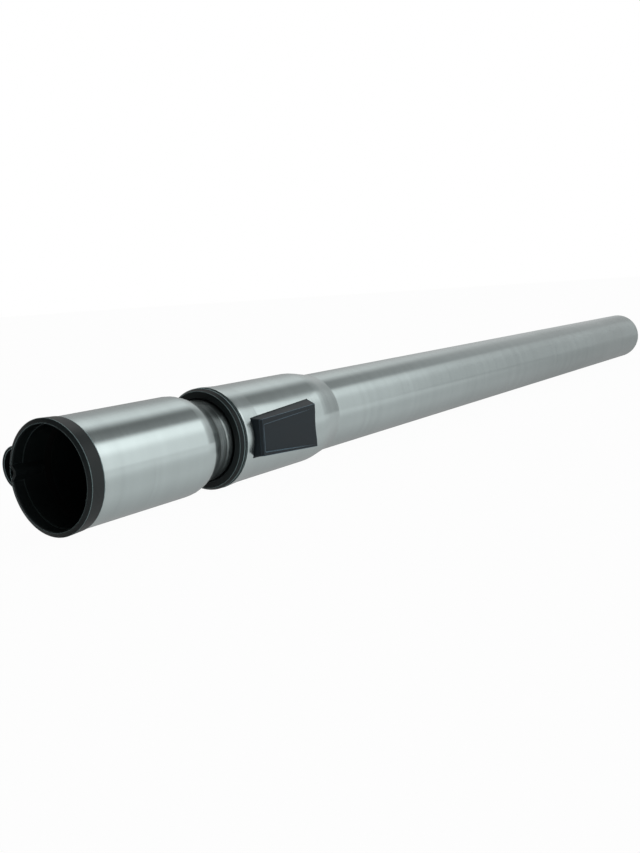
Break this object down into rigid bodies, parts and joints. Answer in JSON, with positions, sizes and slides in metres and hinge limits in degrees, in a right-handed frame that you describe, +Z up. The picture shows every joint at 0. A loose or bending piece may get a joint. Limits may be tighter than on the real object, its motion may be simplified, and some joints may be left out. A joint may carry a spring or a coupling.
{
  "type": "telescopic vacuum wand",
  "caption": "Telescopic brushed steel vacuum wand, pushed together, with a black keyed socket collar, a rocker lock button in the flared head and a plain spigot end.",
  "frame": {"origin": "centre of the socket's mouth, on the wand's axis", "axes": "+X along the wand from the socket to the plain spigot, +Z up as it lies, lock button facing -Y"},
  "size_m": [0.6164, 0.049, 0.0404],
  "materials": {
    "tube_steel": "satin, brushed round the tube",
    "black_plastic": "fine moulded texture, slight sheen",
    "button_plastic": "smooth moulded, soft sheen",
    "slide_plastic": "smooth low friction moulding",
    "seal_rubber": "matt",
    "felt": "pressed felt",
    "small_steel": "bright drawn steel"
  },
  "bodies": {
    "lower": {"lower_tube": "tube_steel", "head_ring": "black_plastic", "wiper_ring": "felt", "guide_sleeve": "slide_plastic", "lock_frame": "slide_plastic", "pivot_pin": "small_steel", "button_spring": "small_steel"},
    "upper": {"upper_tube": "tube_steel", "socket_collar": "black_plastic", "socket_seal": "seal_rubber", "tail_shell_upper": "slide_plastic", "tail_shell_lower": "slide_plastic", "tail_seal": "seal_rubber"},
    "rocker": {"rocker_button": "button_plastic", "rocker_lever": "slide_plastic", "lock_pawl": "small_steel"}
  },
  "joints": [
    {"name": "telescope_slide", "type": "slide", "parent": "lower", "child": "upper", "axis": [-1, 0, 0], "range_m": [0, 0.375]},
    {"name": "button_rock", "type": "hinge", "parent": "lower", "child": "rocker", "pos_m": [0.1057, -0.0189, 0], "axis": [0, 0, 1], "range_deg": [-3.6, 4], "stiffness_Nm_per_rad": 0.2, "springref_deg": -5.73, "deforming": ["button_spring"]}
  ]
}
